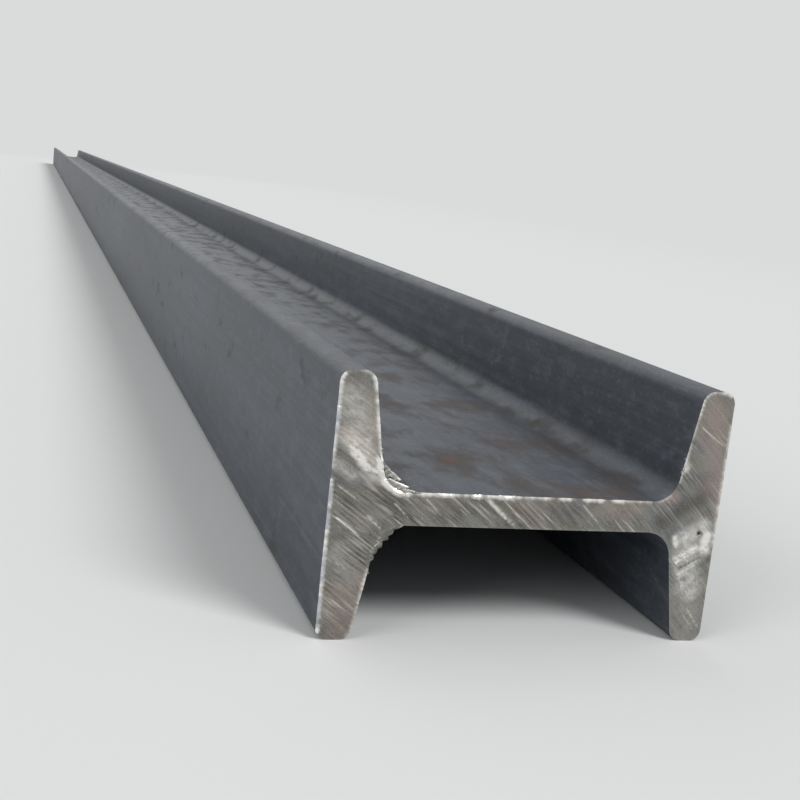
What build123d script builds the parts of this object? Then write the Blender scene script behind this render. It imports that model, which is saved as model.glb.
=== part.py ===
from build123d import *
import os

# Steel I-beam: one hot-rolled bar with tapered flanges, sawn square at both ends.
# It lies with its web level and its two flanges upright, on the lower toes of the flanges.
# X runs across the section, from flange to flange, Y along the beam and Z up.
# The origin is on the ground, under the middle of the beam. All sizes are in millimetres.

# Rolled section
section_depth = 120.0  # over the outer faces of the two flanges
flange_width = 77.0  # from toe to toe
web_thickness = 9.5
flange_thickness = 12.6  # halfway between the web and the toe
taper_run = 6.0  # distance towards the toe in which a flange gets 1 mm thinner
root_radius = 8.0  # hollow where a flange meets the web
toe_inner_radius = 4.0  # toe's corner on the tapered face
toe_outer_radius = 3.5  # toe's corner on the flat outer face

# Stock length
beam_length = 6000.0

# Each flange stands out from the web by its overhang, and thins along it
overhang = (flange_width - web_thickness) / 2
taper_each_way = overhang / 2 / taper_run
toe_thickness = flange_thickness - taper_each_way
root_thickness = flange_thickness + taper_each_way

# Corners of one quarter of the section, counted from its centre
half_depth = section_depth / 2
half_width = flange_width / 2
half_web = web_thickness / 2
toe_x = half_depth - toe_thickness
root_x = half_depth - root_thickness

# A rounding is never larger than the wall that carries it allows
toe_radius_limit = toe_thickness / 2
root_radius_limit = min(overhang, root_x) / 2

# Upright plane across the middle of the beam, with its centre at the middle of the web
mid_section = Plane(origin=(0, 0, half_width), x_dir=(1, 0, 0), z_dir=(0, -1, 0))

with BuildPart() as i_beam:
    with BuildSketch(mid_section) as section:
        # One quarter, with sharp corners: half the web and half a flange
        with BuildLine():
            Polyline(
                (0, 0),
                (half_depth, 0),
                (half_depth, half_width),
                (toe_x, half_width),
                (root_x, half_web),
                (0, half_web),
                close=True,
            )
        make_face()

        # The rolls leave a hollow at the root and two rounded corners on the toe
        root_corner = section.vertices().sort_by_distance((root_x, half_web))[0]
        fillet(root_corner, radius=min(root_radius, root_radius_limit))
        toe_inner_corner = section.vertices().sort_by_distance((toe_x, half_width))[0]
        fillet(toe_inner_corner, radius=min(toe_inner_radius, toe_radius_limit))
        toe_outer_corner = section.vertices().sort_by_distance((half_depth, half_width))[0]
        fillet(toe_outer_corner, radius=min(toe_outer_radius, toe_radius_limit))

        # The section is alike above and below the web, and left and right
        mirror(about=Plane.XZ)
        mirror(about=Plane.YZ)

    # The bar runs the same way towards both sawn ends
    extrude(amount=beam_length / 2, both=True)

i_beam.part.label = "i_beam"

os.makedirs("parts", exist_ok=True)
export_step(i_beam.part, "parts/i_beam.step")
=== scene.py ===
import math

import bmesh
import bpy
import numpy as np
from mathutils import Matrix, Vector, noise
from mathutils.geometry import delaunay_2d_cdt


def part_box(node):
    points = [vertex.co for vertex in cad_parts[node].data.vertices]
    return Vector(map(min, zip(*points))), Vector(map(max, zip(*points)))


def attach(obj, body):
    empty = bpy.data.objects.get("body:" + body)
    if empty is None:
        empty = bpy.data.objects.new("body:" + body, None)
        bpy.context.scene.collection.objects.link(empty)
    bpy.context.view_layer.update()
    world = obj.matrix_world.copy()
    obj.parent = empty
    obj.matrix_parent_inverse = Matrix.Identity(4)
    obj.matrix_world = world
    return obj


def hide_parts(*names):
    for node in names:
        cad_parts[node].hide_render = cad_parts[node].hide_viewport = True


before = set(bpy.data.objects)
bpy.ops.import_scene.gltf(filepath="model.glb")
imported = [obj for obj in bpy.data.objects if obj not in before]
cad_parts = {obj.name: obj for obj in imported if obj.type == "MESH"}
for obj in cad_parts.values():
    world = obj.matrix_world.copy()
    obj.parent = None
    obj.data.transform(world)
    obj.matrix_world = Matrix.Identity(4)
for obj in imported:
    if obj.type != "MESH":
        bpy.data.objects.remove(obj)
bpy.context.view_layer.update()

# Rolled bar: one length of mild steel, drawn out hot between grooved rolls. They thin the flanges towards
# their toes and round every edge and hollow along the bar, which cools under a skin of mill scale.
MM = 0.001
low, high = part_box("i_beam")
half_length = high.y
half_depth = high.x
half_width = (high.z - low.z) / 2
web_level = (high.z + low.z) / 2
half_web = 4.75 * MM
flange_thickness = 12.6 * MM  # midway between the web and the toe
taper_run = 6.0  # distance towards the toe in which a flange gets 1 thinner
root_radius = 8.0 * MM
toe_inner_radius = 4.0 * MM
toe_outer_radius = 3.5 * MM
ring_count = 80


def linear(hex_colour):
    """Linear colour of an sRGB hex value, with full alpha."""
    parts = [int(hex_colour[i:i + 2], 16) / 255 for i in (1, 3, 5)]
    return [*(part / 12.92 if part <= 0.04045 else ((part + 0.055) / 1.055) ** 2.4 for part in parts), 1.0]


def set_inputs(node, inputs):
    """Sets a node's inputs. Each is a value, another node's output, or a node, for its first output."""
    for socket, value in inputs.items():
        if isinstance(value, bpy.types.Node):
            value = value.outputs[0]
        if isinstance(value, bpy.types.NodeSocket):
            node.id_data.links.new(value, node.inputs[socket])
        else:
            node.inputs[socket].default_value = value


def add_node(tree, kind, inputs=None, **settings):
    """Adds a node to a tree, with its inputs and its settings."""
    made = tree.nodes.new(kind)
    for name, value in settings.items():
        setattr(made, name, value)
    set_inputs(made, inputs or {})
    return made


def new_finish(name):
    """An empty material, with its tree, its shader and the place on the piece that patterns can follow."""
    material = bpy.data.materials.new(name)
    material.use_nodes = True
    tree = material.node_tree
    where = add_node(tree, "ShaderNodeTexCoord").outputs["Object"]
    return material, tree, tree.nodes["Principled BSDF"], where


def noise_patterns(tree, rows):
    """Noise by name. Each row has the place that it follows, its sizes there in millimetres, its detail."""
    patterns = {}
    for name, place, sizes, detail in rows:
        spot = add_node(tree, "ShaderNodeVectorMath", {
            0: place, 1: [size * MM for size in sizes],
        }, operation="DIVIDE")
        patterns[name] = add_node(tree, "ShaderNodeTexNoise", {
            "Vector": spot, "Scale": 1.0, "Detail": detail, "Roughness": 0.6,
        })
    return patterns


def layered(tree, colour, layers):
    """A colour under layers of others. Each has how far it has got from 0 to 1, its share and its tone."""
    for amount, share, tone in layers:
        amount = add_node(tree, "ShaderNodeMath", {0: amount, 1: share}, operation="MULTIPLY", use_clamp=True)
        mixed = add_node(tree, "ShaderNodeMix", {0: amount, 6: colour, 7: linear(tone)}, data_type="RGBA")
        colour = mixed.outputs[2]
    return colour


def summed(tree, total, parts):
    """A value with parts added to it. Each has what it follows and how much it adds."""
    for value, much in parts:
        total = add_node(tree, "ShaderNodeMath", {0: value, 1: much, 2: total}, operation="MULTIPLY_ADD")
    return total


# Mill scale is the iron oxide that the hot bar grows: a dark blue-grey film with a satin sheen, drawn
# into streaks by the rolls, chipped off in flakes down to duller steel, and with a little rust.
mill_scale, tree, shader, where = new_finish("mill_scale")
# Sizes are across, along and up the bar. The oxide's own grain is under 0.1 mm and the lines that the rolls
# leave are about 0.1 mm apart. Both are too fine to show, and are drawn coarser.
pattern = noise_patterns(tree, (
    ("drift", where, (70, 480, 70), 3),
    ("streak", where, (2.2, 240, 2.2), 4),
    ("line", where, (0.5, 70, 0.5), 3),
    ("grain", where, (0.7, 0.9, 0.7), 3),
    ("speck", where, (1.5, 2.4, 1.5), 4),
    ("mottle", where, (6, 14, 6), 6),
    ("flake", where, (8, 17, 8), 6),
    ("bloom", where, (15, 32, 15), 7),
))
spot = add_node(tree, "ShaderNodeSeparateXYZ", {0: where}).outputs
across = add_node(tree, "ShaderNodeMath", {0: spot["X"]}, operation="ABSOLUTE")
from_web = add_node(tree, "ShaderNodeMath", {0: spot["Z"], 1: web_level}, operation="SUBTRACT")
to_toe = add_node(tree, "ShaderNodeMath", {0: from_web}, operation="ABSOLUTE")
# Water stands on the web between the flanges, and the toes rub on whatever they are laid against. Each
# zone has the distance that it follows, where it starts and where it is full.
zone = {}
for name, value, start, full in (
    ("near web", from_web, half_web + 14 * MM, half_web),
    ("over web", from_web, half_web - 2 * MM, half_web - 1 * MM),
    ("channel", across, half_depth - 10 * MM, half_depth - 20 * MM),
    ("toe", to_toe, half_width - 5 * MM, half_width - 0.5 * MM),
):
    zone[name] = add_node(tree, "ShaderNodeMapRange", {
        "Value": value, "From Min": start, "From Max": full,
    }, interpolation_type="SMOOTHSTEP")
wet = 1.0
for name in ("near web", "over web", "channel"):
    wet = add_node(tree, "ShaderNodeMath", {0: wet, 1: zone[name]}, operation="MULTIPLY")
# Each layer has the noise it follows, what helps it on and how much, where it starts and where it is full
cover = {}
for name, value, helper, help_share, start, full in (
    ("pale streak", pattern["streak"], pattern["drift"], 0.5, 0.72, 0.95),
    ("dark streak", pattern["streak"], pattern["drift"], -0.4, 0.30, 0.14),
    ("fine line", pattern["line"], pattern["drift"], 0.2, 0.66, 0.80),
    ("pale mottle", pattern["mottle"], pattern["drift"], 0.2, 0.60, 0.72),
    ("dark mottle", pattern["mottle"], pattern["drift"], 0.2, 0.56, 0.44),
    ("pale speck", pattern["speck"], pattern["mottle"], 0.3, 0.72, 0.82),
    ("dark speck", pattern["speck"], pattern["mottle"], 0.3, 0.58, 0.46),
    ("flaked", pattern["flake"], zone["toe"], 0.14, 0.64, 0.70),
    ("rust film", pattern["bloom"], wet, 0.13, 0.58, 0.78),
    ("rust bloom", pattern["bloom"], wet, 0.06, 0.70, 0.84),
):
    helped = add_node(tree, "ShaderNodeMath", {0: helper, 1: help_share, 2: value}, operation="MULTIPLY_ADD")
    cover[name] = add_node(tree, "ShaderNodeMapRange", {
        "Value": helped, "From Min": start, "From Max": full,
    }, interpolation_type="SMOOTHSTEP")
colour = layered(tree, linear("#2b2f35"), (
    (pattern["drift"], 1.0, "#454a51"),
    (cover["pale mottle"], 0.35, "#596068"),
    (cover["dark mottle"], 0.35, "#262a30"),
    (cover["dark speck"], 0.40, "#1c1f24"),
    (cover["pale speck"], 0.30, "#6a7077"),
    (cover["pale streak"], 0.20, "#5c6269"),
    (cover["dark streak"], 0.22, "#202429"),
    (cover["fine line"], 0.12, "#70757b"),
    (cover["flaked"], 0.6, "#5d5c5a"),
    (cover["rust film"], 0.5, "#4d3f35"),
    (cover["rust bloom"], 0.45, "#714a31"),
))
rough = summed(tree, 0.32, (
    (pattern["grain"], 0.10), (pattern["mottle"], 0.16), (pattern["streak"], 0.06),
    (cover["flaked"], 0.12), (cover["rust film"], 0.25),
))
relief = summed(tree, 0.0, (
    (pattern["grain"], 0.012 * MM), (pattern["line"], 0.003 * MM), (pattern["streak"], 0.012 * MM),
    (pattern["drift"], 0.3 * MM), (cover["flaked"], -0.05 * MM), (cover["rust bloom"], 0.06 * MM),
))
bump = add_node(tree, "ShaderNodeBump", {"Height": relief, "Distance": 1.0})
set_inputs(shader, {
    "Base Color": colour, "Roughness": rough, "Normal": bump,
    "IOR": 1.45, "Specular Tint": linear("#dfe6f0"),
})

# The section has sharp corners first, with the radius of each
taper_each_way = (half_width - half_web) / 2 / taper_run
toe_x = half_depth - flange_thickness + taper_each_way
root_x = half_depth - flange_thickness - taper_each_way
quarter = [
    (half_depth, half_width, toe_outer_radius),
    (toe_x, half_width, toe_inner_radius),
    (root_x, half_web, root_radius),
]
corners = []
for side_x, side_z in ((1, 1), (-1, 1), (-1, -1), (1, -1)):
    turn = 1 if side_x == side_z else -1
    corners += [(side_x * x, side_z * z, radius) for x, z, radius in quarter[::turn]]


def new_mesh(name, vertices, edges, faces, **marks):
    """A mesh with marks, each of which is a number at every vertex."""
    mesh = bpy.data.meshes.new(name)
    mesh.from_pydata(vertices, edges, faces)
    for mark, values in marks.items():
        mesh.attributes.new(mark, "FLOAT", "POINT").data.foreach_set("value", values)
    return mesh


def new_object(name, data):
    """A new object in the scene."""
    made = bpy.data.objects.new(name, data)
    bpy.context.scene.collection.objects.link(made)
    return made


corner_places = [(x, z, 0) for x, z, _ in corners]
corner_lines = [(i, (i + 1) % len(corners)) for i in range(len(corners))]
section = new_object("section", new_mesh(
    "section", corner_places, corner_lines, [], corner_radius=[radius for _, _, radius in corners],
))


def new_tree(name, inputs):
    """A tree for a modifier, and what it is given. Its named inputs are listed by their kind."""
    tree = bpy.data.node_groups.new(name, "GeometryNodeTree")
    tree.is_modifier = True
    for kind, labels in {"Geometry": ["Geometry"], **inputs}.items():
        for label in labels:
            tree.interface.new_socket(label, in_out="INPUT", socket_type="NodeSocket" + kind)
    tree.interface.new_socket("Geometry", in_out="OUTPUT", socket_type="NodeSocketGeometry")
    return tree, tree.nodes.new("NodeGroupInput").outputs


def grown(source, tree, shape, finish, values):
    """The plain mesh that a tree makes from an object, given the shape it comes to and its inputs."""
    real = add_node(tree, "GeometryNodeRealizeInstances", {0: shape})
    dressed = add_node(tree, "GeometryNodeSetMaterial", {0: real, "Material": finish})
    add_node(tree, "NodeGroupOutput", {0: dressed})
    modifier = source.modifiers.new(tree.name, "NODES")
    modifier.node_group = tree
    for item in tree.interface.items_tree:
        if item.in_out == "INPUT" and item.name in values:
            modifier[item.identifier] = values[item.name]
    graph = bpy.context.evaluated_depsgraph_get()
    mesh = bpy.data.meshes.new_from_object(source.evaluated_get(graph), depsgraph=graph)
    source.modifiers.remove(modifier)
    return mesh


tree, given = new_tree("rolled_bar", {
    "Int": ["Rings", "Corner steps"],
    "Float": ["Half length", "Crowding", "Outline step", "Roller wave", "Wave across", "Wave along", "Seed"],
})
outline = add_node(tree, "GeometryNodeMeshToCurve", {"Mesh": given["Geometry"]})
radius = add_node(tree, "GeometryNodeInputNamedAttribute", {"Name": "corner_radius"}, data_type="FLOAT")
outline = add_node(tree, "GeometryNodeFilletCurve", {
    "Curve": outline, "Count": given["Corner steps"], "Radius": radius,
}, mode="POLY")
outline = add_node(tree, "GeometryNodeResampleCurve", {
    "Curve": outline, "Length": given["Outline step"],
}, mode="LENGTH")
# The rings crowd towards the sawn ends, where the bar is seen from close by
line = add_node(tree, "GeometryNodeCurvePrimitiveLine", {"Start": (0, -1, 0), "End": (0, 1, 0)})
line = add_node(tree, "GeometryNodeResampleCurve", {"Curve": line, "Count": given["Rings"]}, mode="COUNT")
spot = add_node(tree, "GeometryNodeInputPosition")
place_along = add_node(tree, "ShaderNodeSeparateXYZ", {0: spot}).outputs["Y"]
from_middle = add_node(tree, "ShaderNodeMath", {0: place_along}, operation="ABSOLUTE")
from_end = add_node(tree, "ShaderNodeMath", {0: 1.0, 1: from_middle}, operation="SUBTRACT")
power = add_node(tree, "ShaderNodeMath", {0: given["Crowding"], 1: from_end}, operation="POWER")
reach = add_node(tree, "ShaderNodeMapRange", {
    "Value": power, "From Min": 1.0, "From Max": given["Crowding"], "To Min": 1.0, "To Max": 0.0,
})
side = add_node(tree, "ShaderNodeMath", {0: place_along}, operation="SIGN")
signed = add_node(tree, "ShaderNodeMath", {0: side, 1: reach}, operation="MULTIPLY")
place_y = add_node(tree, "ShaderNodeMath", {0: signed, 1: given["Half length"]}, operation="MULTIPLY")
at = add_node(tree, "ShaderNodeCombineXYZ", {"Y": place_y})
line = add_node(tree, "GeometryNodeSetPosition", {"Geometry": line, "Position": at})
bar = add_node(tree, "GeometryNodeCurveToMesh", {"Curve": line, "Profile Curve": outline})
# Long low waves that the rolls leave
wave_size = add_node(tree, "ShaderNodeCombineXYZ", {
    "X": given["Wave across"], "Y": given["Wave along"], "Z": given["Wave across"],
})
waved = add_node(tree, "ShaderNodeVectorMath", {0: spot, 1: wave_size}, operation="DIVIDE")
wave = add_node(tree, "ShaderNodeTexNoise", {
    "Vector": waved, "W": given["Seed"], "Scale": 1.0, "Detail": 2.0,
}, noise_dimensions="4D")
centred = add_node(tree, "ShaderNodeMath", {0: wave, 1: 0.5}, operation="SUBTRACT")
height = add_node(tree, "ShaderNodeMath", {0: centred, 1: given["Roller wave"]}, operation="MULTIPLY")
normal = add_node(tree, "GeometryNodeInputNormal")
offset = add_node(tree, "ShaderNodeVectorMath", {0: normal, "Scale": height}, operation="SCALE")
bar = add_node(tree, "GeometryNodeSetPosition", {"Geometry": bar, "Offset": offset})
skin = grown(section, tree, bar, mill_scale, {
    "Half length": half_length, "Rings": ring_count, "Crowding": 600.0, "Corner steps": 24,
    "Outline step": 0.7 * MM, "Roller wave": 0.25 * MM, "Wave across": 30 * MM, "Wave along": 220 * MM,
    "Seed": 4.0,
})
bpy.data.objects.remove(section)

# Sawn ends: the bar was cut across by a big circular saw. Its teeth left arcs about the blade's middle,
# tore the bare steel in places, rubbed it bright in others, and drew a thin lip over the edges where they
# came out. Sizes here are in millimetres, and places too, across the section as seen from the near end.
blade_middle = np.array([-250.0, -300.0])
middle_radius = np.hypot(*blade_middle)
tooth_pitch = 1.25  # between the arcs
tooth_depth = 0.06
tear_depth = 0.05
step_depth = 0.12
smear_height = 0.06
rubbed_smooth = 0.8  # how much less the teeth bit where they rubbed
mark_spacing = 0.27  # between rows of the mesh's points, which follow the arcs
arc_spacing = 0.8
join_tolerance = 1e-7
edge_loops = (0.35, 0.8, 1.3)
edge_gap = 0.25
lip_width = 1.40
lip_narrowest = 0.6  # share of that width that the lowest lip has
lip_height = 0.42
lip_range = (0.04, 2.0)
lip_beads = 0.25
lip_overhang = 0.18
lip_roll = 0.5
lip_fade = 1.6
lip_smooth = 0.8  # how far a lip wipes out the teeth's marks
lip_shine = 1.6
stray_dull = 0.4  # on the near end, outside its patches
# Stretches of each end's edge that carry a lip: from one place to the next anticlockwise, and how high
near_lips = [
    ((-60, 33), (-60, 22), 0.9), ((-60, 20), (-60, 12), 0.65),
    ((-60, 7), (-60, -36), 1.0), ((-59.2, 37), (-60, 33), 1.1),
    ((-46.5, 15), (-53.5, 38.5), 0.72), ((-39, 5), (-46.5, 14), 1.8),
    ((-24, 4.8), (-39, 5), 1.1), ((-18, 4.8), (-24, 4.8), 0.7),
    ((-5.5, 4.8), (-17.5, 4.8), 1.2), ((3, 4.8), (-4, 4.8), 0.5),
    ((5.4, 4.8), (3.6, 4.8), 0.8), ((12, 4.8), (9, 4.8), 0.7),
    ((21.5, 4.8), (16.5, 4.8), 0.95), ((28.2, 4.8), (25.8, 4.8), 0.9),
    ((37, 4.8), (29, 4.8), 0.4), ((60, -8), (60, 28), 0.45),
    ((-50.6, -37), (-46.8, -18), 0.45), ((58.5, 38.5), (50.5, 38.5), 0.6),
    ((49.4, 36), (48, 25), 0.45), ((47.3, 16.2), (46.8, 14.2), 0.9),
    ((47, 22), (46, 12), 0.4),
]
far_lips = [
    ((60, -34), (60, 34), 0.8), ((38, 4.8), (-38, 4.8), 0.6),
    ((-60, 30), (-60, -20), 0.3), ((38, -4.8), (46, -12), 1.0),
]
# Streaky patches of the near end: from one place to the next, the reach and the strength of each. There
# the teeth rubbed instead of cutting, or smeared the steel bright, or heated it, or oil and dust dull it. The
# bright smears are partly smeared steel and partly a painted highlight.
near_rubbed = [
    ((-58, 36), (-50, 26), 9, 1.0), ((52, 32), (56, 12), 10, 0.9),
    ((53, -6), (54, -20), 9, 0.8), ((55, -26), (56, -36), 9, 0.9),
    ((38, 1), (48, 0), 6, 0.75), ((22, 1), (27, 1), 4, 0.5),
    ((49, 5), (57, 11), 9, 0.9), ((-19, -2.5), (-16, -3), 2.5, 0.9),
]
near_bright = [
    ((-54.8, 17.2), (-50.2, 11.4), 2.4, 1.15), ((-50.2, 11.0), (-46.3, 10.6), 1.5, 1.0),
    ((-47.4, 14.6), (-46.4, 11.6), 1.3, 0.9), ((-56, 20), (-51, 16), 5, 0.6),
    ((-50.5, 19), (-48.6, 12.5), 2.2, 0.55), ((-57, 31), (-52, 22), 7, 0.3),
    ((-58, 12), (-54, 9), 3.5, 0.3), ((-49, 9.4), (-46, 7.8), 2.2, 0.4),
    ((49, -7), (56, -2.6), 4.4, 0.6), ((57.5, -5.4), (57, -9.4), 3.0, 1.2),
    ((47.0, -6.2), (47.6, -8.4), 1.6, 1.0), ((48.0, -12.6), (54.6, -9.0), 1.8, 0.9),
    ((49, -16.6), (55, -13.2), 2.2, 0.45), ((51, -10), (54, -22), 7, 0.50),
    ((48.8, -13.6), (51.4, -21), 1.3, 0.6), ((53, -22), (55, -36), 8, 0.13),
    ((40.5, 5.2), (43, 6.3), 1.2, 0.5), ((47.8, 15.8), (47.3, 14.6), 1.3, 0.6),
    ((-56, -14), (-52, -20), 6, 0.15),
]
near_heated = [
    ((-57, 21), (-49.5, 16.5), 4, 1.0), ((-49.6, 17), (-47.8, 11.5), 2.2, 1.0),
    ((54, 33), (58, 10), 7.5, 0.75), ((40, 5.2), (45, 6.5), 2.6, 1.0),
    ((59.5, 13), (59.5, 0), 2, 1.0), ((-55, -32), (-53, -37), 6, 0.6),
    ((-3, 1.5), (2, -1), 5, 0.6),
]
near_dulled = [
    ((-46, 4.6), (-37, -0.6), 4.2, 1.0), ((-58, 7.5), (-50, 4.5), 3, 0.5),
    ((41.5, -1), (55, 6.5), 4, 1.0), ((45, 10), (57, 14), 3, 0.35),
    ((54.5, -16.2), (59.5, -12.4), 1.3, 1.0), ((-26, 2.6), (-22, -1), 2, 0.9),
    ((-18, 3.3), (-14, 1.6), 1.5, 0.6), ((-5, 1.4), (1.4, -1.6), 3.4, 1.0),
    ((5.5, 2.4), (10.5, -3), 1.2, 0.8), ((9, 2.6), (14.5, -3), 1.2, 0.8),
    ((-57, -18), (-50, -24), 4, 0.35),
]
# Strokes that stand out on the near end, where one tooth or a later knock scraped it: the start, the
# finish, half the width, the depth and the shine of each, below zero where it dulls a bright patch
near_scores = [
    ((48.2, -13.8), (54.6, -9.8), 0.50, 0.09, 1.0), ((49.4, -15.8), (57.4, -11.4), 0.50, 0.03, -0.8),
    ((49.2, -17.6), (56.0, -13.6), 0.45, 0.07, 0.8), ((50.0, -18.6), (54.6, -24.6), 0.35, 0.05, 0.7),
    ((53.4, -17.4), (57.0, -22.2), 0.30, 0.04, 0.6), ((54.8, -28.8), (58.6, -33.6), 0.30, 0.05, 0.5),
    ((53.6, -30.4), (57.2, -35.0), 0.26, 0.04, 0.4), ((51.0, 27.4), (58.5, 22.4), 0.22, 0.04, 0.5),
    ((-57.7, 6.1), (-51.4, 2.1), 0.26, 0.04, 0.40), ((-57.1, -3.1), (-49.6, -8.5), 0.28, 0.05, 0.65),
    ((-48.2, -2.5), (-44.2, -5.9), 0.35, 0.05, 0.45), ((-40.7, 1.3), (-36.7, -2.5), 0.24, 0.04, 0.45),
    ((-56.0, -16.0), (-51.0, -19.8), 0.24, 0.04, 0.45), ((-13.6, 3.6), (-5.2, -3.7), 0.50, 0.05, 0.75),
    ((16.2, 2.6), (21.7, -2.7), 0.24, 0.04, 0.4), ((-31.5, 2.8), (-27.0, -1.6), 0.24, 0.04, 0.4),
]
score_step = 0.15  # between the mesh's points along a score
# In half widths of a score: the mesh's points across it, how far others keep off, its ridges and its shine
score_across = (-1.6, -1, -0.5, 0, 0.5, 1, 1.6)
score_clear = 1.8
score_ridge = 1.3
score_ridge_width = 0.4
score_shine = 2.0
scrape_angle = math.radians(35)  # slope of the streaks on the right
pit_middle = (54.9, -4.8)
pit_radius = 1.0
pit_depth = 0.8
# In radii of the pit: the rings of the mesh's points, how far others keep off, and its dark stain
pit_rings = (0.0, 0.35, 0.7, 1.0, 1.3)
pit_turns = np.linspace(0, 2 * math.pi, 14, endpoint=False)
pit_clear = 1.5
pit_stain = 1.25

# Freshly sawn steel: grey bare metal with a satin grain along the arcs, light and dark strokes where the
# teeth cut or tore, and brown heat tint in patches. Lips and smears are smooth, and painted bright as a
# highlight: the lips near white, with a painted bluish sky reflection on the left edge's lip, and the smears
# partly smeared steel.
sawn_steel, tree, shader, where = new_finish("sawn_steel")
arm = add_node(tree, "ShaderNodeVectorMath", {
    0: where, 1: (blade_middle[0] * MM, 0, web_level + blade_middle[1] * MM),
}, operation="SUBTRACT")
spot = add_node(tree, "ShaderNodeSeparateXYZ", {0: arm}).outputs
angle = add_node(tree, "ShaderNodeMath", {0: spot["Z"], 1: spot["X"]}, operation="ARCTAN2")
arc = add_node(tree, "ShaderNodeMath", {0: angle, 1: middle_radius * MM}, operation="MULTIPLY")
arm = add_node(tree, "ShaderNodeVectorMath", {0: arm, 1: (1, 0, 1)}, operation="MULTIPLY")
radius = add_node(tree, "ShaderNodeVectorMath", {0: arm}, operation="LENGTH").outputs["Value"]
on_arcs = add_node(tree, "ShaderNodeCombineXYZ", {"X": arc, "Y": radius, "Z": spot["Y"]})
# Sizes are along the arcs, across them and along the bar, or the same all ways. A tooth's finest scratches
# and the steel's own grain are under 0.1 mm, too fine to show: hair and grain are drawn coarser.
pattern = noise_patterns(tree, (
    ("stroke", on_arcs, (14, 0.7, 500), 2),
    ("cluster", on_arcs, (16, 7, 500), 2),
    ("broad stroke", on_arcs, (24, 2.2, 500), 3),
    ("hair", on_arcs, (5, 0.3, 500), 1),
    ("cloud", where, (7, 7, 7), 5),
    ("wide cloud", where, (30, 30, 30), 2),
    ("grain", where, (0.5, 0.5, 0.5), 2),
))
mark = {
    name: add_node(tree, "ShaderNodeAttribute", attribute_name=name).outputs["Fac"]
    for name in ("lip", "bite", "ridge", "rubbed", "bright", "heated", "dulled", "pitted")
}
cover = {}
for name, value, start, full in (
    ("cluster", pattern["cluster"], 0.46, 0.62),
    ("dark stroke", pattern["stroke"], 0.42, 0.32),
    ("light stroke", pattern["stroke"], 0.56, 0.66),
    ("dark broad stroke", pattern["broad stroke"], 0.46, 0.32),
    ("light broad stroke", pattern["broad stroke"], 0.54, 0.68),
    ("light hair", pattern["hair"], 0.58, 0.70),
    ("ridge top", mark["ridge"], 0.25, 0.90),
    ("ridge foot", mark["ridge"], -0.20, -0.85),
    ("dark grain", pattern["grain"], 0.46, 0.32),
    ("light grain", pattern["grain"], 0.55, 0.70),
    ("blue cloud", pattern["wide cloud"], 0.50, 0.62),
    ("beige cloud", pattern["cloud"], 0.50, 0.62),
    ("brown cloud", pattern["cloud"], 0.47, 0.34),
    ("blued lip", pattern["cloud"], 0.44, 0.56),
):
    cover[name] = add_node(tree, "ShaderNodeMapRange", {
        "Value": value, "From Min": start, "From Max": full,
    }, interpolation_type="SMOOTHSTEP")
# Strokes show where the teeth bit, and only the lip of the left edge carries the painted bluish sky
# reflection
left = -half_depth - blade_middle[0] * MM
left_edge = add_node(tree, "ShaderNodeMapRange", {
    "Value": spot["X"], "From Min": left + 3 * MM, "From Max": left + 1 * MM,
})
for name, limit in (
    ("blued lip", left_edge), ("blued lip", mark["lip"]),
    ("dark stroke", mark["bite"]), ("light stroke", mark["bite"]), ("light stroke", cover["cluster"]),
    ("dark broad stroke", mark["bite"]), ("light broad stroke", mark["bite"]), ("light hair", mark["bite"]),
):
    cover[name] = add_node(tree, "ShaderNodeMath", {0: cover[name], 1: limit}, operation="MULTIPLY")
colour = layered(tree, linear("#7f7f7a"), (
    (mark["rubbed"], 0.7, "#8f8e88"),
    (cover["blue cloud"], 0.5, "#72797e"),
    (cover["beige cloud"], 0.5, "#948f83"),
    (cover["brown cloud"], 0.5, "#6d645e"),
    (mark["heated"], 0.7, "#94857f"),
    (mark["dulled"], 0.7, "#5c5853"),
    (cover["dark broad stroke"], 0.45, "#57524c"),
    (cover["light broad stroke"], 0.35, "#b5b2a9"),
    (cover["ridge foot"], 0.5, "#534d46"),
    (cover["dark stroke"], 0.65, "#433e38"),
    (cover["ridge top"], 0.5, "#b3b0a7"),
    (cover["light stroke"], 0.7, "#d8d5cd"),
    (cover["light hair"], 0.2, "#c9c5bc"),
    # Bright: partly smeared steel, partly a painted highlight, near white
    (mark["bright"], 1.0, "#f7f4ee"),
    (mark["heated"], 0.25, "#bfaea7"),
    (cover["dark grain"], 0.25, "#4b4640"),
    (cover["light grain"], 0.25, "#bfbcb3"),
    # Lips painted near white: a painted highlight on their rolled edges
    (mark["lip"], 1.0, "#faf8f3"),
    # Painted bluish sky reflection on the left edge's lip
    (cover["blued lip"], 0.70, "#939db6"),
    (mark["pitted"], 1.0, "#1d1712"),
))
rough = summed(tree, 0.40, (
    (cover["dark stroke"], 0.14), (cover["light stroke"], -0.06), (pattern["cloud"], 0.10),
    (mark["bright"], -0.08), (mark["lip"], -0.12), (mark["pitted"], 0.4),
))
relief = summed(tree, 0.0, (
    (pattern["stroke"], 0.10 * MM), (pattern["hair"], 0.03 * MM),
    (pattern["grain"], 0.012 * MM), (pattern["cloud"], 0.10 * MM),
))
bitten = add_node(tree, "ShaderNodeMath", {0: relief, 1: mark["bite"]}, operation="MULTIPLY")
bump = add_node(tree, "ShaderNodeBump", {"Height": bitten, "Distance": 1.0})
set_inputs(shader, {"Base Color": colour, "Roughness": rough, "Normal": bump, "Metallic": 1.0})


def sampled(spots, sizes, seed):
    """Smooth noise from -1 to 1 at each place, with each axis counted in its own size."""
    return np.array([noise.noise(Vector((a / sizes[0], b / sizes[1], seed))) for a, b in spots])


def uneven(spots, sizes, seed, middle, swing, least, most):
    """The same noise about a middle value, cut off at a least and a most."""
    return np.clip(middle + swing * sampled(spots, sizes, seed), least, most)


def faded(distance, reach):
    """1 at no distance, falling smoothly to 0 at the reach."""
    left = np.clip(1 - distance / reach, 0, 1)
    return left * left * (3 - 2 * left)


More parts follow.
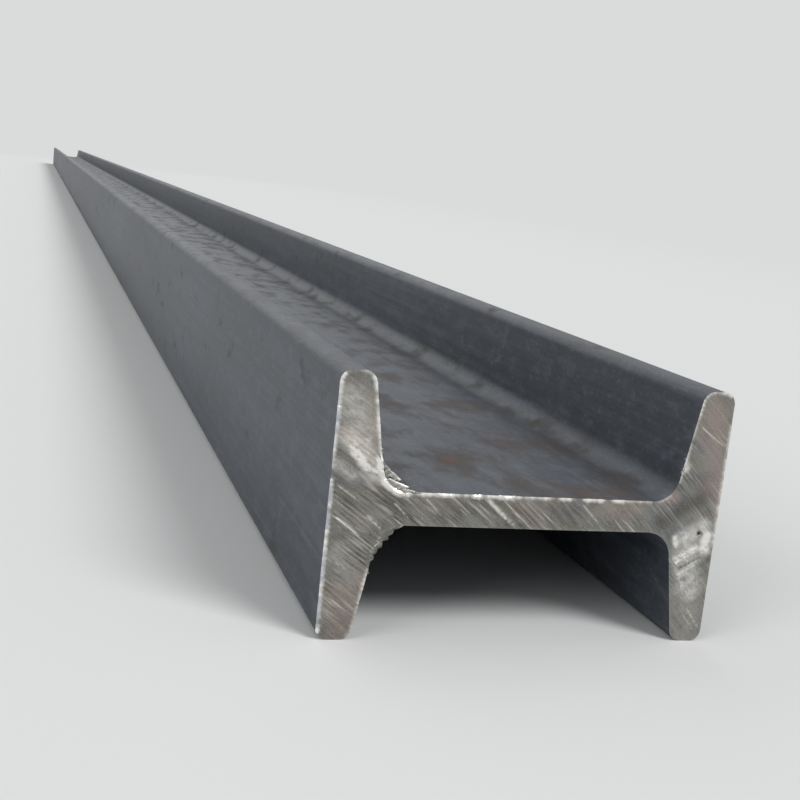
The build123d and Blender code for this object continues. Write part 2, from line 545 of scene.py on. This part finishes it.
def to_arcs(spots):
    """Arc length and radius about the blade's middle, for places across the section."""
    arm = spots - blade_middle
    return np.stack([np.arctan2(arm[:, 1], arm[:, 0]) * middle_radius, np.hypot(*arm.T)], axis=1)


def from_arcs(arcs):
    """The reverse of to_arcs."""
    angle = arcs[:, 0] / middle_radius
    return blade_middle + arcs[:, 1:] * np.stack([np.cos(angle), np.sin(angle)], axis=1)


def turning(ring):
    """1 where the outline runs anticlockwise, otherwise -1."""
    ahead = np.roll(ring, -1, axis=0)
    return np.sign(np.sum(ring[:, 0] * ahead[:, 1] - ring[:, 1] * ahead[:, 0]))


def outward(ring):
    """Unit vectors that point out of the section at each point of its outline."""
    along = np.roll(ring, -1, axis=0) - np.roll(ring, 1, axis=0)
    along /= np.linalg.norm(along, axis=1)[:, None]
    return np.stack([along[:, 1], -along[:, 0]], axis=1) * turning(ring)


def along_line(spots, start, end):
    """How far along a straight line each place lies, from 0 to 1, and its distance from there."""
    run = np.subtract(end, start)
    share = np.clip((spots - start) @ run / (run @ run), 0, 1)
    return share, np.linalg.norm(spots - start - share[:, None] * run, axis=1)


def from_edge(ring, spots):
    """How far each spot lies inside the outline, below zero outside it, and the nearest place on it."""
    nearest = np.full(len(spots), 1e9)
    beside = np.zeros(len(spots))
    crossings = np.zeros(len(spots), int)
    for number, (start, end) in enumerate(zip(ring, np.roll(ring, -1, axis=0))):
        share, distance = along_line(spots, start, end)
        closer = distance < nearest
        beside[closer] = number + share[closer]
        nearest[closer] = distance[closer]
        run = end - start
        if run[1]:
            spans = (start[1] > spots[:, 1]) != (end[1] > spots[:, 1])
            crossings += spans & (spots[:, 0] < start[0] + (spots[:, 1] - start[1]) * run[0] / run[1])
    return np.where(crossings % 2 == 1, nearest, -nearest), beside


def at_edge(values, beside):
    """Values given at the points of the outline, read at places between them."""
    return np.interp(beside, np.arange(len(values) + 1), np.append(values, values[0]))


def stretch(ring, start, finish):
    """How far each point of the outline lies beyond a stretch of it that runs anticlockwise."""
    steps = np.linalg.norm(np.roll(ring, -1, axis=0) - ring, axis=1)
    along = np.concatenate([[0], np.cumsum(steps)[:-1]]) * turning(ring)
    first, last = (along[np.argmin(np.linalg.norm(ring - spot, axis=1))] for spot in (start, finish))
    past_first = (along - first) % steps.sum()
    length = (last - first) % steps.sum()
    return np.where(past_first <= length, 0, np.minimum(past_first - length, steps.sum() - past_first))


def lip_along(ring, lips, seed):
    """How high the lip is round the outline. It is uneven, with a bead where each tooth came out."""
    lip = np.zeros(len(ring))
    for start, finish, strength in lips:
        lip = np.maximum(lip, strength * faded(stretch(ring, start, finish), lip_fade))
    lip *= 0.9 + 0.5 * sampled(ring, (5, 5), seed) + 0.5 * sampled(ring, (1.3, 1.3), seed + 2)
    lip *= 1 + lip_beads * np.sin(2 * math.pi * to_arcs(ring)[:, 1] / tooth_pitch)
    return np.clip(lip, *lip_range)


def saw_ridge(spots, seed):
    """The ridges between the teeth's arcs, from -1 to 1, in clusters that are strong or faint."""
    arcs = to_arcs(spots)
    drift = sampled(arcs, (45, 9), seed) * tooth_pitch
    strength = uneven(arcs, (14, 4), seed + 7, middle=0.35, swing=1.3, least=0.1, most=1.1)
    return np.sin(2 * math.pi * (arcs[:, 1] + drift) / tooth_pitch) * strength


def patch(spots, places):
    """How strongly patches cover each spot. They run from one place to the next, with reach and strength."""
    covered = np.zeros(len(spots))
    for start, finish, reach, strength in places:
        covered = np.maximum(covered, strength * faded(along_line(spots, start, finish)[1], reach))
    return covered


def lattice(ring):
    """Places for points on the sawn face, in rows along the blade's arcs."""
    arcs = to_arcs(ring)
    radii = np.arange(arcs[:, 1].min(), arcs[:, 1].max(), mark_spacing)
    lengths = np.arange(arcs[:, 0].min(), arcs[:, 0].max(), arc_spacing)
    return from_arcs(np.array([
        (length + arc_spacing * (row % 2) / 2, radius)
        for row, radius in enumerate(radii) for length in lengths
    ]))


def score_points(start, end, half):
    """Points along and across one score, close enough to carry its hollow."""
    run = np.subtract(end, start)
    length = np.hypot(*run)
    side = np.array([-run[1], run[0]]) / length
    return np.array([
        start + run * share + side * half * across
        for share in np.linspace(0, 1, int(length / score_step)) for across in score_across
    ])


pit_spots = [
    pit_middle + pit_radius * share * np.array([math.cos(turn), math.sin(turn)])
    for share in pit_rings for turn in (pit_turns if share else [0.0])
]
points = np.empty(len(skin.vertices) * 3)
skin.vertices.foreach_get("co", points)
rings = points.reshape(ring_count, -1, 3)
rings[:, :, 2] += web_level
ring_size = rings.shape[1]
vertices = [tuple(point) for ring in rings for point in ring]
marks = {name: [0.0] * len(vertices) for name in mark}
faces = [tuple(face.vertices) for face in skin.polygons]
outlines = {}
# The near end is at -1 and the far end at 1
for end, seed, lips in ((-1, 3.0, near_lips), (1, 41.0, far_lips)):
    near = end < 0
    ring = rings[0 if near else -1][:, [0, 2]] / MM - [0, web_level / MM]
    normal = outward(ring)
    outlines[end] = ring, normal
    spots = lattice(ring)
    if near:
        for start, finish, half, _, _ in near_scores:
            spots = spots[along_line(spots, start, finish)[1] > score_clear * half]
        spots = spots[np.linalg.norm(spots - pit_middle, axis=1) > pit_clear * pit_radius]
        spots = np.concatenate([spots, pit_spots, *(score_points(*score[:3]) for score in near_scores)])
    spots = spots[from_edge(ring, spots)[0] > max(edge_loops) + edge_gap]
    flat = np.concatenate([ring, *(ring - normal * depth for depth in edge_loops), spots])
    arcs = to_arcs(flat)

    # Where the teeth bit they left ridges, tears and steps, and elsewhere they rubbed
    rubbed = patch(flat, near_rubbed) if near else np.zeros(len(flat))
    bite = uneven(flat, (16, 16), seed + 5, middle=0.9, swing=0.6, least=0.3, most=1.3)
    bite *= 1 - rubbed_smooth * rubbed
    ridge = saw_ridge(flat, seed) * bite
    tear = sampled(arcs, (9, 0.8), seed + 13) * bite
    height = ridge * tooth_depth + tear * tear_depth + sampled(arcs, (60, 6), seed + 19) * step_depth
    # Pale streaks along the arcs, painted as highlights
    bright = uneven(arcs, (12, 1), seed + 23, middle=-0.3, swing=0.9, least=0, most=0.35) * (1 - rubbed)
    heated = uneven(flat, (18, 18), seed + 29, middle=-0.2, swing=1.5, least=0, most=0.6)
    dulled = uneven(flat, (10, 10), seed + 31, middle=-0.2, swing=1.8, least=0, most=1)
    pitted = np.zeros(len(flat))
    if near:
        # Smears are mottled and streaky, along the arcs on the left and along the scrapes on the right
        scraped = flat @ [[math.cos(scrape_angle), -math.sin(scrape_angle)],
                          [math.sin(scrape_angle), math.cos(scrape_angle)]]
        streaky = np.where(flat[:, 0] > 0, sampled(scraped, (5, 1), 9), sampled(arcs, (4, 0.9), 9))
        mottled = 0.95 + 0.5 * streaky + 0.5 * sampled(flat, (2, 2), 11) + 0.6 * sampled(flat, (0.7, 0.7), 15)
        smeared = patch(flat, near_bright) * mottled
        height += smeared * smear_height
        bright = np.maximum(bright, smeared)
        heated = np.maximum(heated, patch(flat, near_heated))
        dulled = np.maximum(dulled * stray_dull, patch(flat, near_dulled))
        # Each score starts sharply, is broken on its way and fades out
        for start, finish, half, depth, shine in near_scores:
            share, off = along_line(flat, start, finish)
            off /= half
            beside_it = np.exp(-((off - score_ridge) / score_ridge_width) ** 2)
            height += depth * (beside_it - np.clip(1 - off ** 2, 0, 1))
            broken = uneven(flat, (1.1, 1.1), seed + 37, middle=1.1 - share ** 2, swing=1.1, least=0, most=1)
            stroke = shine * faded(off, score_shine) * broken
            bright = np.maximum(bright, stroke) if shine > 0 else bright * (1 + stroke)
        off = np.linalg.norm(flat - pit_middle, axis=1) / pit_radius
        height -= pit_depth * np.clip(1 - off ** 2, 0, 1)
        pitted = faded(off, pit_stain)

    # The crest of a lip is a little way in, and rolls over towards the edge
    lip = lip_along(ring, lips, seed)
    inside, beside = from_edge(ring, flat)
    from_rim = np.abs(inside)
    near_lip = at_edge(lip, beside)
    rise = near_lip * faded(from_rim, lip_width * (lip_narrowest + (1 - lip_narrowest) * near_lip))
    height *= 1 - np.clip(rise, 0, lip_smooth)
    height += rise * lip_height * (1 - lip_roll * faded(from_rim, edge_loops[0]))
    # The painted highlight along each lip is broken in places, and is strongest where the lip rises most
    highlight_breaks = uneven(ring, (2.3, 2.3), seed + 43, middle=0.9, swing=1.4, least=0.3, most=1)
    lip_highlight = np.clip(rise * lip_shine, 0, 1) * at_edge(highlight_breaks, beside)

    # The points are joined up as if they stood evenly along and across the arcs
    even = arcs / [arc_spacing, mark_spacing]
    even -= even.mean(axis=0)
    borders = [
        (loop * ring_size + i, loop * ring_size + (i + 1) % ring_size)
        for loop in range(1 + len(edge_loops)) for i in range(ring_size)
    ]
    made = delaunay_2d_cdt(list(map(Vector, even)), borders, [], 1, join_tolerance)
    origins = [origin[0] for origin in made[3]]

    # The outline's points are those of the skin's own ring there, so that the end closes the bar
    first = 0 if near else (ring_count - 1) * ring_size
    numbers = [*range(first, first + ring_size), *range(len(vertices), len(vertices) + len(flat) - ring_size)]
    flat[:ring_size] += normal * (lip * lip_overhang)[:, None]
    placed = [(x * MM, end * (half_length + h * MM), z * MM + web_level) for (x, z), h in zip(flat, height)]
    vertices[first:first + ring_size] = placed[:ring_size]
    vertices += placed[ring_size:]
    for name, values in zip(mark, (lip_highlight, bite, ridge, rubbed, bright, heated, dulled, pitted)):
        marks[name][first:first + ring_size] = values[:ring_size]
        marks[name] += list(values[ring_size:])
    faces += [tuple(numbers[origins[corner]] for corner in face) for face in made[2]]

mesh = new_mesh("rolled_bar", vertices, [], faces, **marks)
mesh.materials.append(mill_scale)
mesh.materials.append(sawn_steel)
mesh.polygons.foreach_set("material_index", [int(i >= len(skin.polygons)) for i in range(len(faces))])
work = bmesh.new()
work.from_mesh(mesh)
bmesh.ops.recalc_face_normals(work, faces=work.faces)
work.to_mesh(mesh)
work.free()
sharp_angle = math.radians(38)
mesh.shade_smooth()
mesh.set_sharp_from_angle(angle=sharp_angle)
bar = new_object("rolled_bar", mesh)
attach(bar, "root")
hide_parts("i_beam")

# Torn leaves: where the blade left the near end's roots it pushed the last of the steel out in thin torn
# leaves. Three overlap in the upper left root, under its lip, two line the lower left flange and root, and
# a small one stands above the upper right root.
leaf_thickness = 0.16
leaf_rows = 8
leaf_step = 0.12
leaf_root = 0.2  # inside the steel
leaf_curl = 2.0
ripple_height = 0.3
ripple_size = 2.5
tooth_width = 0.9
tooth_length = 0.30
tooth_wander = 1.5
# Each leaf: where it starts and ends on the edge of the section, how far it stands in front of the end at
# its root and at its free edge, how bright it is, and the way of its free edge from the one to the other
leaves = [
    ((-47.4, 16.0), (-42.8, 6.8), -0.3, 0.4, 0.75, [
        (-47.2, 15.0), (-45.4, 12.9), (-43.4, 11.2), (-39.6, 8.3), (-41.0, 8.6), (-41.8, 7.5),
    ]),
    ((-44.2, 8.4), (-38.4, 4.9), -0.1, 0.9, 0.85, [
        (-43.6, 9.0), (-41.2, 8.0), (-37.5, 6.7), (-39.4, 6.8), (-38.2, 5.6),
    ]),
    ((-41.0, 5.6), (-33.8, 4.8), 0.0, 0.6, 0.6, [
        (-40.4, 6.4), (-38.4, 6.2), (-36.0, 5.4), (-34.0, 4.9),
    ]),
    ((-49.0, -29.0), (-45.8, -12.5), -0.4, 0.0, 0.1, [
        (-48.7, -28.0), (-48.2, -27.0), (-48.1, -24.0), (-47.4, -23.2), (-47.4, -20.0), (-46.5, -18.8),
        (-46.6, -15.8), (-45.3, -14.6),
    ]),
    ((-45.9, -13.4), (-38.0, -4.8), -0.4, 0.1, 0.2, [
        (-44.8, -13.0), (-44.6, -11.6), (-43.4, -11.2), (-43.3, -9.5), (-41.7, -8.9), (-41.9, -7.9),
        (-40.7, -7.4), (-40.4, -6.1), (-38.6, -5.5),
    ]),
    ((47.5, 16.6), (46.7, 13.8), -0.2, 0.4, 0.6, [
        (46.9, 16.2), (46.2, 15.6), (46.5, 15.0), (46.0, 14.5), (46.4, 14.0),
    ]),
]


def lengths_along(line):
    """How far along a bent line each of its points lies."""
    return np.concatenate([[0], np.cumsum(np.linalg.norm(np.diff(line, axis=0), axis=1))])


def read_along(places, lengths, line):
    """The points of a bent line, read at places between them."""
    return np.stack([np.interp(places, lengths, line[:, axis]) for axis in (0, 1)], axis=1)


def along_edge(end, start, finish, step):
    """Places and outward directions in small steps along a stretch of an end's edge."""
    ring, normal = outlines[end]
    first, last = (int(np.argmin(np.linalg.norm(ring - spot, axis=1))) for spot in (start, finish))
    count = (last - first) % len(ring)
    if count > len(ring) / 2:
        count -= len(ring)
    turn = 1 if count >= 0 else -1
    picked = np.arange(first, first + count + turn, turn) % len(ring)
    lengths = lengths_along(ring[picked])
    places = np.arange(0, lengths[-1], step)
    return [read_along(places, lengths, part[picked]) for part in (ring, normal)]


leaf_vertices = []
leaf_faces = []
leaf_shares = []
leaf_shines = []
for number, (start, finish, root_front, free_front, shine, free_edge) in enumerate(leaves):
    base, away = along_edge(-1, start, finish, leaf_step)
    line = np.array([start, *free_edge, finish])
    lengths = lengths_along(line)
    places = np.linspace(0, lengths[-1], len(base))
    free = read_along(places, lengths, line)
    # Torn teeth: slanting, with one sheer side, and of uneven length
    on_leaf = [(place, number) for place in places]
    tooth = (places / tooth_width + tooth_wander * sampled(on_leaf, (2, 1), 1)) % 1
    size = np.maximum(0.5 + sampled(on_leaf, (1.5, 1), 5), 0)
    free -= away * (tooth_length * tooth * size)[:, None]
    first = len(leaf_vertices)
    for row in range(leaf_rows):
        share = row / (leaf_rows - 1)
        for place, root, out, tip in zip(places, base, away, free):
            x, z = (root - out * leaf_root) * (1 - share) + tip * share
            ripple = ripple_height * noise.noise(Vector((place / ripple_size, share * 3, number * 9.0)))
            front = root_front + (free_front - root_front) * math.sin(share * leaf_curl) + ripple * share
            leaf_vertices.append((x * MM, -half_length - front * MM, z * MM + web_level))
            leaf_shares.append(share)
            leaf_shines.append(shine)
    leaf_faces += [
        tuple(first + row * len(base) + i + corner for corner in (0, 1, len(base) + 1, len(base)))
        for row in range(leaf_rows - 1) for i in range(len(base) - 1)
    ]

# Torn steel: grey bare metal drawn into folds that run the way it tore, with a painted highlight along its
# free edge
fold_slope = math.radians(37)
fold_sizes = (5 * MM, 1.5 * MM, 0.8 * MM)  # along the folds, along the bar and across the folds
torn_steel, tree, shader, where = new_finish("torn_steel")
turned = add_node(tree, "ShaderNodeVectorRotate", {
    "Vector": where, "Angle": fold_slope,
}, rotation_type="Y_AXIS")
spot = add_node(tree, "ShaderNodeVectorMath", {0: turned, 1: fold_sizes}, operation="DIVIDE")
fold = add_node(tree, "ShaderNodeTexNoise", {"Vector": spot, "Scale": 1.0, "Detail": 2.0})
shine = add_node(tree, "ShaderNodeAttribute", attribute_name="shine").outputs["Fac"]
share = add_node(tree, "ShaderNodeAttribute", attribute_name="share").outputs["Fac"]
# Where the painted highlight lies: along the free edge of the brighter leaves
free_edge = add_node(tree, "ShaderNodeMath", {0: share, 1: shine}, operation="MULTIPLY")
colour = linear("#6e6b65")
for value, start, full, tone in (
    (shine, 0.1, 0.9, "#a1a09a"),
    (fold, 0.46, 0.30, "#66615b"),
    (fold, 0.54, 0.68, "#c8c6c0"),
    (free_edge, 0.50, 0.90, "#ebe9e4"),
):
    amount = add_node(tree, "ShaderNodeMapRange", {"Value": value, "From Min": start, "From Max": full})
    colour = layered(tree, colour, [(amount, 1.0, tone)])
tall = add_node(tree, "ShaderNodeMath", {0: fold, 1: 0.15 * MM}, operation="MULTIPLY")
bump = add_node(tree, "ShaderNodeBump", {"Height": tall, "Distance": 1.0})
set_inputs(shader, {"Base Color": colour, "Roughness": 0.38, "Normal": bump, "Metallic": 1.0})

mesh = new_mesh("torn_leaves", leaf_vertices, [], leaf_faces, share=leaf_shares, shine=leaf_shines)
mesh.materials.append(torn_steel)
mesh.shade_smooth()
torn_leaves = new_object("torn_leaves", mesh)
thickened = torn_leaves.modifiers.new("thickness", "SOLIDIFY")
thickened.thickness = leaf_thickness * MM
thickened.offset = 0
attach(torn_leaves, "root")

# Torn burrs: small splinters of bare steel that the teeth tore out of the edge as they left it. They stand
# at all angles along the near end's lower left root, and along some other inner edges of both ends.
burr_step = 0.22
burr_root = 0.25  # inside the steel
# A shard is 1 long. It tapers to a blunt tip, and leans to one side as it does.
shard_rings = 5
shard_sides = 5
shard_half_width = 0.5
shard_half_depth = 0.25
shard_taper = 0.96
shard_bluntness = 0.7
shard_curl = 0.35
# Each stretch of edge that carries burrs: its end, start and finish, and how far they lean off the end
burr_stretches = [
    (-1, (-46.8, -19.0), (-46.2, -15.0), -0.3),
    (-1, (-46.2, -15.0), (-39.0, -4.9), -0.3),
    (-1, (47.6, 17.5), (46.6, 12.5), 0.4),
    (-1, (-47.0, 14.5), (-48.0, 20.0), -0.2),
    (1, (38.0, -4.9), (47.0, -16.0), 0.4),
    (1, (-38.5, 4.9), (-46.5, 14.0), 0.6),
]
shard_vertices = []
for row in range(shard_rings):
    share = row / (shard_rings - 1)
    slim = (1 - shard_taper * share) ** shard_bluntness
    for side in range(shard_sides):
        turn = 2 * math.pi * side / shard_sides
        x = shard_half_width * slim * math.cos(turn) + shard_curl * share ** 2
        shard_vertices.append((x, shard_half_depth * slim * math.sin(turn), share))
shard_faces = [
    tuple((row + up) * shard_sides + (side + on) % shard_sides for up, on in ((0, 0), (0, 1), (1, 1), (1, 0)))
    for row in range(shard_rings - 1) for side in range(shard_sides)
]
shard_faces += [
    tuple(reversed(range(shard_sides))),
    tuple(range((shard_rings - 1) * shard_sides, shard_rings * shard_sides)),
]
shard_marks = dict.fromkeys(("share", "shine"), [0.7] * len(shard_vertices))
shard = new_object("shard", new_mesh("shard", shard_vertices, [], shard_faces, **shard_marks))

burr_places = []
burr_directions = []
for end, start, finish, lean in burr_stretches:
    for (x, z), (out_x, out_z) in zip(*along_edge(end, start, finish, burr_step)):
        place_y = end * (half_length - burr_root * MM)
        burr_places.append(((x - out_x * burr_root) * MM, place_y, (z - out_z * burr_root) * MM + web_level))
        burr_directions += [out_x, end * lean, out_z]
path_mesh = new_mesh("burr_places", burr_places, [], [])
path_mesh.attributes.new("direction", "FLOAT_VECTOR", "POINT").data.foreach_set("vector", burr_directions)
burr_path = new_object("burr_places", path_mesh)

tree, given = new_tree("torn_burrs", {
    "Object": ["Shard"], "Float": ["Share", "Shortest", "Longest", "Thickness", "Splay"], "Int": ["Seed"],
})
shape = add_node(tree, "GeometryNodeObjectInfo", {"Object": given["Shard"]})
picked = add_node(tree, "FunctionNodeRandomValue", {
    "Probability": given["Share"], "Seed": given["Seed"],
}, data_type="BOOLEAN")
heading = add_node(tree, "GeometryNodeInputNamedAttribute", {"Name": "direction"}, data_type="FLOAT_VECTOR")
facing = add_node(tree, "FunctionNodeAlignRotationToVector", {"Vector": heading}, axis="Z")
splay_back = add_node(tree, "ShaderNodeMath", {0: given["Splay"], 1: -1.0}, operation="MULTIPLY")
lowest = add_node(tree, "ShaderNodeCombineXYZ", {"X": splay_back, "Y": splay_back})
highest = add_node(tree, "ShaderNodeCombineXYZ", {"X": given["Splay"], "Y": given["Splay"], "Z": 2 * math.pi})
tilt = add_node(tree, "FunctionNodeRandomValue", {
    0: lowest, 1: highest, "Seed": given["Seed"],
}, data_type="FLOAT_VECTOR")
tilt = add_node(tree, "FunctionNodeEulerToRotation", {0: tilt})
facing = add_node(tree, "FunctionNodeRotateRotation", {0: facing, 1: tilt}, rotation_space="LOCAL")
tall = add_node(tree, "FunctionNodeRandomValue", {
    2: given["Shortest"], 3: given["Longest"], "Seed": given["Seed"],
}, data_type="FLOAT")
size = add_node(tree, "ShaderNodeCombineXYZ", {
    "X": given["Thickness"], "Y": given["Thickness"], "Z": tall.outputs[1],
})
burrs = add_node(tree, "GeometryNodeInstanceOnPoints", {
    "Points": given["Geometry"], "Selection": picked.outputs[3], "Instance": shape.outputs["Geometry"],
    "Rotation": facing, "Scale": size,
})
mesh = grown(burr_path, tree, burrs, torn_steel, {
    "Shard": shard, "Share": 0.28, "Shortest": 0.4 * MM, "Longest": 1.3 * MM, "Thickness": 0.9 * MM,
    "Splay": 0.8, "Seed": 5,
})
bpy.data.objects.remove(shard)
bpy.data.objects.remove(burr_path)
mesh.name = "torn_burrs"
mesh.shade_smooth()
torn_burrs = new_object("torn_burrs", mesh)
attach(torn_burrs, "root")

# Floor: a plain pale studio floor. Away from the bar it turns into the colour of the background, so that
# no horizon shows behind it.
background = linear("#dadbdb")
floor_reach = 90.0
fade_start = 0.25
fade_full = 2.2


def seen_rays(tree):
    """1 for rays that show what they hit, straight or in a reflection, and 0 for the rest."""
    path = add_node(tree, "ShaderNodeLightPath").outputs
    seen = path["Is Camera Ray"]
    for kind in ("Is Glossy Ray", "Is Transmission Ray"):
        seen = add_node(tree, "ShaderNodeMath", {0: seen, 1: path[kind]}, operation="MAXIMUM")
    return seen


# White studio paint: dead matt, so that only the bar's soft shadow shows on it
floor_white, tree, shader, where = new_finish("floor_white")
set_inputs(shader, {"Base Color": linear("#dedfdf"), "Roughness": 0.9, "Specular IOR Level": 0.0})
from_bar = add_node(tree, "ShaderNodeVectorMath", {0: where}, operation="ABSOLUTE")
for operation, limit in (("SUBTRACT", high), ("MAXIMUM", (0, 0, 0))):
    from_bar = add_node(tree, "ShaderNodeVectorMath", {0: from_bar, 1: limit}, operation=operation)
distance = add_node(tree, "ShaderNodeVectorMath", {0: from_bar}, operation="LENGTH")
away = add_node(tree, "ShaderNodeMapRange", {
    "Value": distance.outputs["Value"], "From Min": fade_start, "From Max": fade_full,
}, interpolation_type="SMOOTHSTEP")
share = add_node(tree, "ShaderNodeMath", {0: seen_rays(tree), 1: away}, operation="MULTIPLY")
pale = add_node(tree, "ShaderNodeEmission", {"Color": background})
both = add_node(tree, "ShaderNodeMixShader", {0: share, 1: shader, 2: pale})
set_inputs(tree.nodes["Material Output"], {"Surface": both})
floor_corners = [(x * floor_reach, y * floor_reach, 0) for x, y in ((-1, -1), (1, -1), (1, 1), (-1, 1))]
mesh = new_mesh("floor", floor_corners, [], [(0, 1, 2, 3)])
mesh.materials.append(floor_white)
floor = new_object("floor", mesh)

# Light: soft and even from all round, with a large soft lamp above and to the right of the near end, and
# weaker ones from the left and from behind.
world = bpy.data.worlds.new("studio")
world.use_nodes = True
tree = world.node_tree
around = tree.nodes["Background"]
set_inputs(around, {"Color": linear("#ffffff"), "Strength": 0.34})
seen_around = add_node(tree, "ShaderNodeBackground", {"Color": background})
both = add_node(tree, "ShaderNodeMixShader", {0: seen_rays(tree), 1: around, 2: seen_around})
set_inputs(tree.nodes["World Output"], {"Surface": both})
bpy.context.scene.world = world
for name, shines_from, strength, spread in (
    ("key", (0.55, -0.75, 0.95), 1.9, 25),
    ("fill", (-0.9, -0.55, 0.55), 0.9, 35),
    ("back", (-0.2, 0.9, 0.7), 0.5, 60),
):
    lamp = bpy.data.lights.new(name, "SUN")
    lamp.energy = strength
    lamp.angle = math.radians(spread)
    placed = new_object(name, lamp)
    placed.rotation_euler = Vector(shines_from).to_track_quat("Z", "Y").to_euler()

# Camera: it stands close to the near end, above it and to its left, and leans a little, as in the
# photograph.
place = Vector((-142.1, -3333.0, 130.0)) * MM
aim = Vector((-42.8, -3000.0, 69.3)) * MM
leaning_up = Vector((-0.0478, 0.2185, 0.9747))
forward = (aim - place).normalized()
right = forward.cross(leaning_up).normalized()
up = right.cross(forward)
lens = bpy.data.cameras.new("camera")
lens.lens = 58.0
lens.clip_start = 0.01
lens.clip_end = 300.0
camera = new_object("camera", lens)
camera.matrix_world = Matrix.Translation(place) @ Matrix((right, up, -forward)).transposed().to_4x4()
bpy.context.scene.camera = camera
bpy.context.scene.view_settings.view_transform = "Standard"
